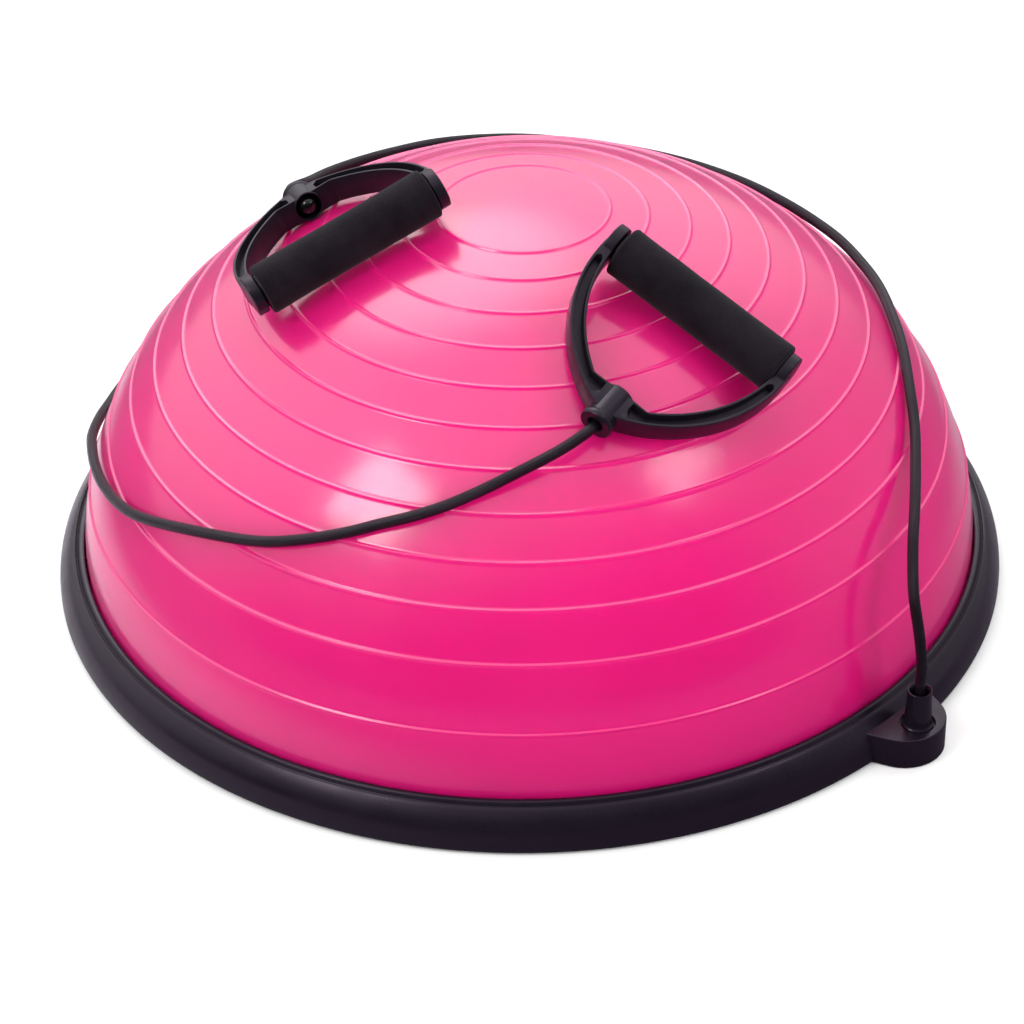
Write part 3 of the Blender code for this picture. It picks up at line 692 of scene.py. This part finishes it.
def build_dome(mats):
    floor_top = DOME_FLOOR_Z + DOME_WALL
    hole = 11.6
    foot = [
        (DOME_RADIUS, floor_top + 2), (DOME_RADIUS + 1, floor_top), (276.8, floor_top),
        (276.8, DOME_FLOOR_Z), (hole, DOME_FLOOR_Z), (hole, floor_top),
        (DOME_RADIUS - DOME_WALL, floor_top),
    ]
    inner_radius = DOME_RADIUS - DOME_WALL
    lining = []
    for i in range(16):
        radius = inner_radius * math.cos(0.5 * math.pi * i / 15)
        height = dome_height(radius * DOME_RADIUS / inner_radius) - DOME_WALL
        lining.append((radius if i < 15 else 0.0, height))
    profile = dome_skin_profile() + foot + lining
    skin = lathe("dome_skin", profile, DOME_STEPS, mats["pvc"], closed=False, angle=50)
    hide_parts("dome_bladder")
    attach(skin, "base")


# ---------------------------------------------------------------- base
def build_rim(mats):
    """The clamp ring: a long slope, a narrow groove and the lip that hugs the dome."""
    foot = [(286.3, 1.0), (289.0, 1.0), (289.7, 1.3)]
    curve = ((290.0, 2.0), (290.3, 12.0), (287.2, 18.6), (279.9, 24.8))
    slope = [tuple(bezier_at(curve, i / 16)) for i in range(17)]
    lip = [
        (279.5, 25.0), (279.1, 24.9), (278.8, 24.3), (278.3, 24.05), (277.9, 24.2), (277.6, 24.7),
        (276.7, 26.1), (276.2, 26.6), (275.6, 26.8), (274.3, 26.8), (273.7, 26.6), (273.4, 26.1),
        (273.2, 25.2),
    ]
    inside = [(273.2, 14.4), (273.8, 12.1), (277.1, 12.1), (277.1, 9.1), (286.0, 9.1), (286.0, 1.3)]
    return lathe("clamp_ring", foot + slope + lip + inside, RING_STEPS, mats["ring"], angle=40)


def difference(obj, cutter_data):
    """Cuts a closed shell out of obj for good."""
    verts, faces = cutter_data
    tool = piece("cutter", verts, faces, obj.data.materials[0])
    mod = obj.modifiers.new("cut", "BOOLEAN")
    mod.object = tool
    mod.operation = "DIFFERENCE"
    mod.solver = "EXACT"
    bpy.context.view_layer.update()
    evaluated = obj.evaluated_get(bpy.context.evaluated_depsgraph_get())
    mesh = bpy.data.meshes.new_from_object(evaluated)
    obj.modifiers.clear()
    obj.data = mesh
    mesh.shade_smooth()
    mesh.set_sharp_from_angle(angle=math.radians(32))
    bpy.data.objects.remove(tool, do_unlink=True)


def lug_outline(inset):
    """The lug from above: a round nose whose sides run straight on into the rim, spreading a little."""
    nose = LUG_RADIUS - inset
    turn = math.radians(LUG_NOSE_ANGLE)
    half = []
    for i in range(29):
        angle = turn * i / 28
        half.append((LUG_DISTANCE + nose * math.cos(angle), nose * math.sin(angle)))
    x, y = half[-1]
    half.append((LUG_ROOT_DISTANCE, y + (x - LUG_ROOT_DISTANCE) / math.tan(turn)))
    return half + [(x, -y) for x, y in reversed(half[1:])]


def lug_block(sign):
    """The lug's block with its soft top edge, before it is fitted to the rim and hollowed."""
    levels = [(0.0, LUG_BOTTOM_Z), (0.0, LUG_TOP_Z - 0.9), (0.07, LUG_TOP_Z - 0.55),
              (0.26, LUG_TOP_Z - 0.26), (0.55, LUG_TOP_Z - 0.07), (0.9, LUG_TOP_Z)]
    rings = [[(sign * x, y, z) for x, y in lug_outline(inset)] for inset, z in levels]
    size = len(rings[0])
    faces = [[i * size + k, i * size + (k + 1) % size, (i + 1) * size + (k + 1) % size, (i + 1) * size + k]
             for i in range(len(rings) - 1) for k in range(size)]
    faces += [list(range(size)), [(len(rings) - 1) * size + k for k in range(size)]]
    return [v for ring in rings for v in ring], faces


def build_lug(side, sign, mats):
    """The round-nosed lug, cut to fit the rim and hollowed for the socket's flange, stem and clip."""
    lug = piece(f"lug_{side}", *lug_block(sign), mats["ring"], angle=32)
    inside = [
        (0, 40), (274.5, 40), (274.5, 13.5), (278.2, 13.5), (278.2, 11), (286.6, 11), (286.6, -4), (0, -4),
    ]
    difference(lug, lathe_data(inside, RING_STEPS, closed=False))
    recess_floor = LUG_TOP_Z - RECESS_DEPTH
    hole = [
        (0, LUG_TOP_Z + 4), (RECESS_RADIUS + 0.5, LUG_TOP_Z + 4), (RECESS_RADIUS + 0.5, LUG_TOP_Z + 0.1),
        (RECESS_RADIUS, LUG_TOP_Z - 0.4), (RECESS_RADIUS, recess_floor), (5.6, recess_floor), (5.6, 8.5),
        (9.7, 8.5), (9.7, -2), (0, -2),
    ]
    shift = Matrix.Translation((sign * SOCKET_DISTANCE, 0, 0))
    difference(lug, moved(lathe_data(hole, 64, closed=False), shift))
    return lug


def build_plate(mats):
    """The underside: a disc with a collar, round ribs, spokes and a raised outer band."""
    bottom, web, top = PLATE_BOTTOM_Z, 6.2, PLATE_TOP_Z
    port = 18.0
    profile = [
        (port, top), (port, bottom + 0.4), (port + 0.4, bottom), (port + 4, bottom), (port + 4.4, web),
        (133.6, web), (134, bottom), (139, bottom), (139.4, web), (245.6, web), (246, bottom),
        (PLATE_RADIUS - 0.5, bottom), (PLATE_RADIUS, bottom + 0.5), (PLATE_RADIUS, top),
    ]
    parts = [lathe_data(profile, DOME_STEPS)]
    for x, y, _ in around(SPOKE_COUNT, 1.0):
        for inner, outer in ((port + 3, 135.0), (138.0, 247.0)):
            corners = ((1.6, web + 0.3), (1.3, bottom + 0.3), (-1.3, bottom + 0.3), (-1.6, web + 0.3))
            box = [(r * x - half * y, r * y + half * x, z) for r in (inner, outer) for half, z in corners]
            faces = [(0, 1, 2, 3), (4, 7, 6, 5), (0, 4, 5, 1), (1, 5, 6, 2), (2, 6, 7, 3), (3, 7, 4, 0)]
            parts.append((box, faces))
    plate = joined("underside_plate", parts, mats["plate"])
    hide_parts("base_plate")
    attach(plate, "base")


def build_screws(mats):
    """Pan-head screws with a cross recess."""
    head, under = 3.4, PLATE_BOTTOM_Z - 0.3
    profile = rounded([
        (head, under), (head, under - 1.3), (head * 0.55, under - 2.1), (0, under - 2.1),
    ], 0.7, 3, False)
    shank = [(0, 15.2), (1.2, 15.2), (1.7, 14.0), (1.7, under)]
    slots = []
    for turn in (0, 1):
        half = (1.9, 0.34) if turn == 0 else (0.34, 1.9)
        slots.append([(sx * half[0], sy * half[1]) for sx, sy in ((1, 1), (-1, 1), (-1, -1), (1, -1))])
    base = lathe("screw_pattern", shank + profile, 24, mats["steel"], closed=False)
    for outline in slots:
        verts = [(x, y, under - 3) for x, y in outline]
        verts += [(x * 0.8, y * 0.8, under - 1.1) for x, y in outline]
        faces = [(0, 1, 2, 3), (7, 6, 5, 4), (0, 4, 5, 1), (1, 5, 6, 2), (2, 6, 7, 3), (3, 7, 4, 0)]
        difference(base, (verts, faces))
    for i, (x, y, angle) in enumerate(around(SCREW_COUNT, SCREW_CIRCLE, math.pi / SCREW_COUNT)):
        screw = bpy.data.objects.new(f"pan_screw_{i + 1:02d}", base.data.copy())
        bpy.context.scene.collection.objects.link(screw)
        screw.location = (x * MM, y * MM, 0)
        screw.rotation_euler.z = angle * 2.3
        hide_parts(f"base_screw_{i + 1:02d}")
        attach(screw, "base")
    bpy.data.objects.remove(base, do_unlink=True)


def build_feet(mats):
    """Rubber feet with two grip rings under them."""
    top = PLATE_BOTTOM_Z - 0.3
    profile = [
        (0, 8.4), (2.2, 8.4), (3.0, 7.2), (3.0, top), (10.6, top), (11.0, top - 0.4), (11.0, 1.3),
        (10.2, 0.3), (9.6, 0), (7.6, 0), (7.3, 0.5), (6.4, 0.5), (6.1, 0), (4.2, 0), (3.9, 0.5),
        (3.0, 0.5), (2.7, 0), (0, 0),
    ]
    for i, (x, y, _) in enumerate(around(FOOT_COUNT, FOOT_CIRCLE, math.pi / FOOT_COUNT)):
        foot = lathe(f"grip_foot_{i + 1}", profile, 40, mats["rubber"], closed=False)
        foot.location = (x * MM, y * MM, 0)
        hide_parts(f"rubber_foot_{i + 1}")
        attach(foot, "base")


def build_valve(mats):
    neck, top = 11.3, DOME_FLOOR_Z + DOME_WALL
    seat_profile = rounded([
        (6.1, top + 9), (8.4, top + 9), (neck, top + 4.5), (neck + 4, top + 2), (neck + 4, top + 0.3),
        (neck, top + 0.3), (neck, DOME_FLOOR_Z - 0.3), (neck + 3, DOME_FLOOR_Z - 0.3), (neck + 3, 7.0),
        (6.1, 7.0),
    ], 0.5, 3)
    seat = lathe("valve_grommet", seat_profile, 56, mats["valve"])
    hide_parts("valve_seat")
    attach(seat, "base")
    plug_profile = rounded([
        (0, 19.5), (4.0, 19.5), (5.4, 16.5), (5.8, 11.0), (5.8, 6.5), (8.8, 6.5), (9.2, 5.2), (8.4, 4.4),
        (5.2, 4.4), (4.6, 5.0), (0, 5.0),
    ], 0.4, 3, False)
    plug = lathe("valve_stopper", plug_profile, 56, mats["pvc"], closed=False)
    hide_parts("valve_plug")
    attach(plug, "valve_plug")


def build_socket(side, sign, mats):
    """The ferrule with a soft-edged mouth and a thin foot flange, standing in its lug's recess."""
    floor = LUG_TOP_Z - RECESS_DEPTH + 0.3
    shoulder = floor + 1.3
    stem, bore = 5.2, 3.6
    profile = [
        (4.5, 39.2), (5.0, 41.0), (6.1, 42.5), (6.4, 42.8), (6.75, 42.85), (7.05, 42.6), (7.15, 42.1),
        (7.15, 40.0), (7.45, 32.0), (7.85, shoulder + 2.6), (8.0, shoulder + 1.3), (8.3, shoulder + 0.6),
        (8.8, shoulder + 0.2), (9.1, shoulder - 0.1), (9.2, shoulder - 0.5), (9.2, floor), (stem, floor),
        (stem, 4.6), (stem - 0.4, 4.2), (bore, 4.2), (bore, 27.0), (4.4, 29.0), (4.4, 37.6),
    ]
    ferrule = lathe(f"ferrule_{side}", profile, 64, mats["socket"], angle=42)
    ferrule.location.x = sign * SOCKET_DISTANCE * MM
    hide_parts(f"band_socket_{side}")
    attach(ferrule, f"socket_{side}")


def build_base(mats):
    ring = build_rim(mats)
    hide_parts("base_ring")
    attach(ring, "base")
    for side, sign in (("a", 1), ("b", -1)):
        lug = build_lug(side, sign, mats)
        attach(lug, "base")
        build_socket(side, sign, mats)
    build_plate(mats)
    build_screws(mats)
    build_feet(mats)
    build_valve(mats)


# ---------------------------------------------------------------- handles
ARM_OUTER = ((63.9, -1.0), (67.0, 35.0), (53.0, 70.0), (9.0, 93.2))
ARM_INNER = ((57.2, -1.0), (58.0, 30.0), (46.0, 58.0), (18.0, 78.0))
BOSS_SIDE = 3.2              # an arm runs this far into the boss
ARM_WALL = 1.7               # thickness of an arm's two walls
GROOVE_START = 15.5          # distance of the groove's round end from the grip's axis
POCKET_END = 10.1            # distance of the pocket's last wall from the bow's centre line


def arm_sections():
    """Pairs of points across an arm, from its outer edge to its inner edge."""
    knee = 0.80
    pairs = []
    count = 64
    for i in range(count + 1):
        t = i / count
        along = t * 0.865 / knee if t < knee else 0.865 + (t - knee) * 0.135 / (1 - knee)
        outer = bezier_at(ARM_OUTER, along)
        if t < knee:
            inner = bezier_at(ARM_INNER, t / knee)
        else:
            inner = Vector(ARM_INNER[3]).lerp(Vector((BOSS_SIDE, 77.4)), (t - knee) / (1 - knee))
            outer = outer.lerp(Vector((BOSS_SIDE, 94.2)), ((t - knee) / (1 - knee)) ** 3)
        pairs.append((outer, inner))
    return pairs


def groove_share(outer, inner):
    """How open the groove is here: 0 at its two ends, 1 along its length, with a round start."""
    middle = (outer + inner) / 2
    if middle.y < GROOVE_START or middle.x < POCKET_END:
        return 0.0
    start = min(1.0, (middle.y - GROOVE_START) / 2.6)
    return math.sqrt(1 - (1 - start) ** 2)


def arm_part(sign):
    """One arm: an H-section swept between its two edges, its groove closing at both ends."""
    half, web, soft = BOW_HALF_WIDTH, 2.2, 0.55
    verts, faces = [], []
    pairs = arm_sections()
    for outer, inner in pairs:
        width = (outer - inner).length
        share = groove_share(outer, inner)
        room = max(0.25, width / 2 - ARM_WALL) * max(share, 0.12)
        floor = web if share > 0 else half - 0.02
        lip = min(0.45, room * 0.5)
        middle = width / 2
        top = [
            (0, half - soft), (soft * 0.3, half - soft * 0.3), (soft, half), (middle - room - lip, half),
            (middle - room - lip * 0.3, half - lip * 0.3 * (share > 0)),
            (middle - room, half - lip * (share > 0)),
            (middle - room, floor + lip * (share > 0)), (middle - room + lip * 0.6, floor),
            (middle + room - lip * 0.6, floor), (middle + room, floor + lip * (share > 0)),
            (middle + room, half - lip * (share > 0)),
            (middle + room + lip * 0.3, half - lip * 0.3 * (share > 0)), (middle + room + lip, half),
            (width - soft, half), (width - soft * 0.3, half - soft * 0.3), (width, half - soft),
        ]
        loop = top + [(a, -n) for a, n in reversed(top)]
        across = (outer - inner) / width
        for a, n in loop:
            p = inner + across * a
            verts.append((sign * p.x, p.y, n))
    size = len(verts) // len(pairs)
    for i in range(len(pairs) - 1):
        for k in range(size):
            j = (k + 1) % size
            faces.append([i * size + k, i * size + j, (i + 1) * size + j, (i + 1) * size + k])
    faces.append(list(range(size)))
    faces.append([(len(pairs) - 1) * size + k for k in range(size)])
    return verts, faces


def end_part(sign):
    """The round end plate with a slightly domed outer face, and the hub that carries the grip's tube."""
    r = END_PLATE_RADIUS
    profile = rounded([
        (0, PLATE_INNER - 9), (7.6, PLATE_INNER - 9), (7.7, PLATE_INNER - 0.6), (8.6, PLATE_INNER),
        (r, PLATE_INNER), (r, PLATE_OUTER - 0.9), (r * 0.62, PLATE_OUTER - 0.15), (0, PLATE_OUTER),
    ], 0.8, 4, closed=False)
    return moved(lathe_data(profile, 72, closed=False), Matrix.Rotation(sign * math.pi / 2, 4, "Y"))


def boss_part():
    """The boss on the bow's centre line: a cylinder with a flanged mouth, bored for band and stopper."""
    profile = [
        (7.9, 76.5), (8.2, 76.2), (8.7, 76.2), (9.1, 76.7), (9.1, 95.2), (9.3, 95.9), (9.6, 96.2),
        (9.9, 96.7), (9.9, 99.5), (9.4, 100.2), (5.4, 100.2), (4.9, 99.8), (4.6, 97.4), (3.75, 95.4),
        (3.75, 86.9), (6.4, 83.2), (7.5, 79.5),
    ]
    return moved(lathe_data(profile, 72), Matrix.Rotation(-math.pi / 2, 4, "X"))


def bored(part, mat):
    """The part with the boss's bore cut through it."""
    bore = [(0, 70), (7.9, 70), (7.9, 76.5), (7.5, 79.5), (6.4, 83.2), (3.75, 86.9), (3.75, 104), (0, 104)]
    solid = piece("uncut", *part, mat)
    difference(solid, moved(lathe_data(bore, 72, closed=False), Matrix.Rotation(-math.pi / 2, 4, "X")))
    verts = [tuple(v.co / MM) for v in solid.data.vertices]
    faces = [list(f.vertices) for f in solid.data.polygons]
    bpy.data.objects.remove(solid, do_unlink=True)
    return verts, faces


def build_bow(side, mats):
    arms = [bored(arm_part(s), mats["bow"]) for s in (1, -1)]
    ends = [end_part(s) for s in (1, -1)]
    bow = joined(f"bow_frame_{side}", [boss_part(), *arms, *ends], mats["bow"], angle=38)
    bow.matrix_world = handle_matrix(side)
    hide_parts(f"handle_bow_{side}")
    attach(bow, f"handle_{side}")


def build_stopper(side, mats):
    """The ball on the band's end."""
    profile = []
    for i in range(25):
        angle = math.pi * i / 24
        profile.append((BALL_RADIUS * math.sin(angle), BALL_RADIUS * math.cos(angle)))
    profile[0] = (0.0, BALL_RADIUS)
    profile[-1] = (0.0, -BALL_RADIUS)
    ball = lathe(f"stopper_{side}", profile, 40, mats["gloss"], closed=False)
    ball.matrix_world = handle_matrix(side) @ Matrix.Translation((0, (BOSS_START + 3.4) * MM, 0))
    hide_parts(f"stopper_ball_{side}")
    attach(ball, f"handle_{side}")


def build_grip(side, mats):
    """The foam sleeve, a little uneven as pressed foam is, on its plastic tube."""
    turn = handle_matrix(side) @ Matrix.Rotation(math.pi / 2, 4, "Y")
    reach = PLATE_INNER - 0.6
    tube_profile = rounded([(8.0, reach), (9.8, reach), (9.8, -reach), (8.0, -reach)], 0.5, 3)
    tube = lathe(f"core_tube_{side}", tube_profile, 56, mats["tube"])
    tube.matrix_world = turn
    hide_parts(f"grip_tube_{side}")
    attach(tube, f"grip_{side}")
    half = GRIP_LENGTH / 2
    r = GRIP_RADIUS
    soft = 1.7
    outline = [(10.1, half - 0.6), (10.7, half)]
    outline += [(r - soft + soft * math.sin(a), half - soft + soft * math.cos(a))
                for a in (math.pi / 2 * k / 7 for k in range(8))]
    levels = [half - soft - i * 3.9 for i in range(1, 28)]
    straight = [(r, level) for level in levels if level > -half + soft + 1]
    mirrored = [(radius, -z) for radius, z in reversed(outline)]
    verts, faces = lathe_data(outline + straight + mirrored, 72)
    seed = Vector((3.1, 7.7, 1.9)) if side == "a" else Vector((9.2, 4.4, 5.6))
    shaped = []
    for x, y, z in verts:
        radius = math.hypot(x, y)
        grow = 1.0
        if radius > 11:
            unevenness = noise.noise(Vector((x, y, z)) * 0.045 + seed) * 0.22
            waist = -0.25 * (1 - (z / half) ** 2)
            grow = 1 + (unevenness + waist) / radius
        shaped.append((x * grow, y * grow, z))
    foam = piece(f"foam_sleeve_{side}", shaped, faces, mats["foam"], angle=60)
    foam.matrix_world = turn @ Matrix.Translation((0, 0, GRIP_SHIFT[side] * MM))
    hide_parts(f"foam_grip_{side}")
    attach(foam, f"grip_{side}")


# ---------------------------------------------------------------- assembly
def dress_cad_nodes(mats):
    """The CAD nodes that stay visible get the same materials as the pieces."""
    for side in ("a", "b"):
        for name, key in ((f"socket_clip_{side}", "steel"), (f"band_wedge_{side}", "gloss")):
            obj = bpy.data.objects[name]
            obj.data.materials.clear()
            obj.data.materials.append(mats[key])


def main():
    build_camera()
    build_floor()
    build_light()
    mats = build_materials()
    for side in ("a", "b"):
        build_band(side, mats["latex"])
    build_dome(mats)
    build_base(mats)
    for side in ("a", "b"):
        build_bow(side, mats)
        build_stopper(side, mats)
        build_grip(side, mats)
    dress_cad_nodes(mats)


main()
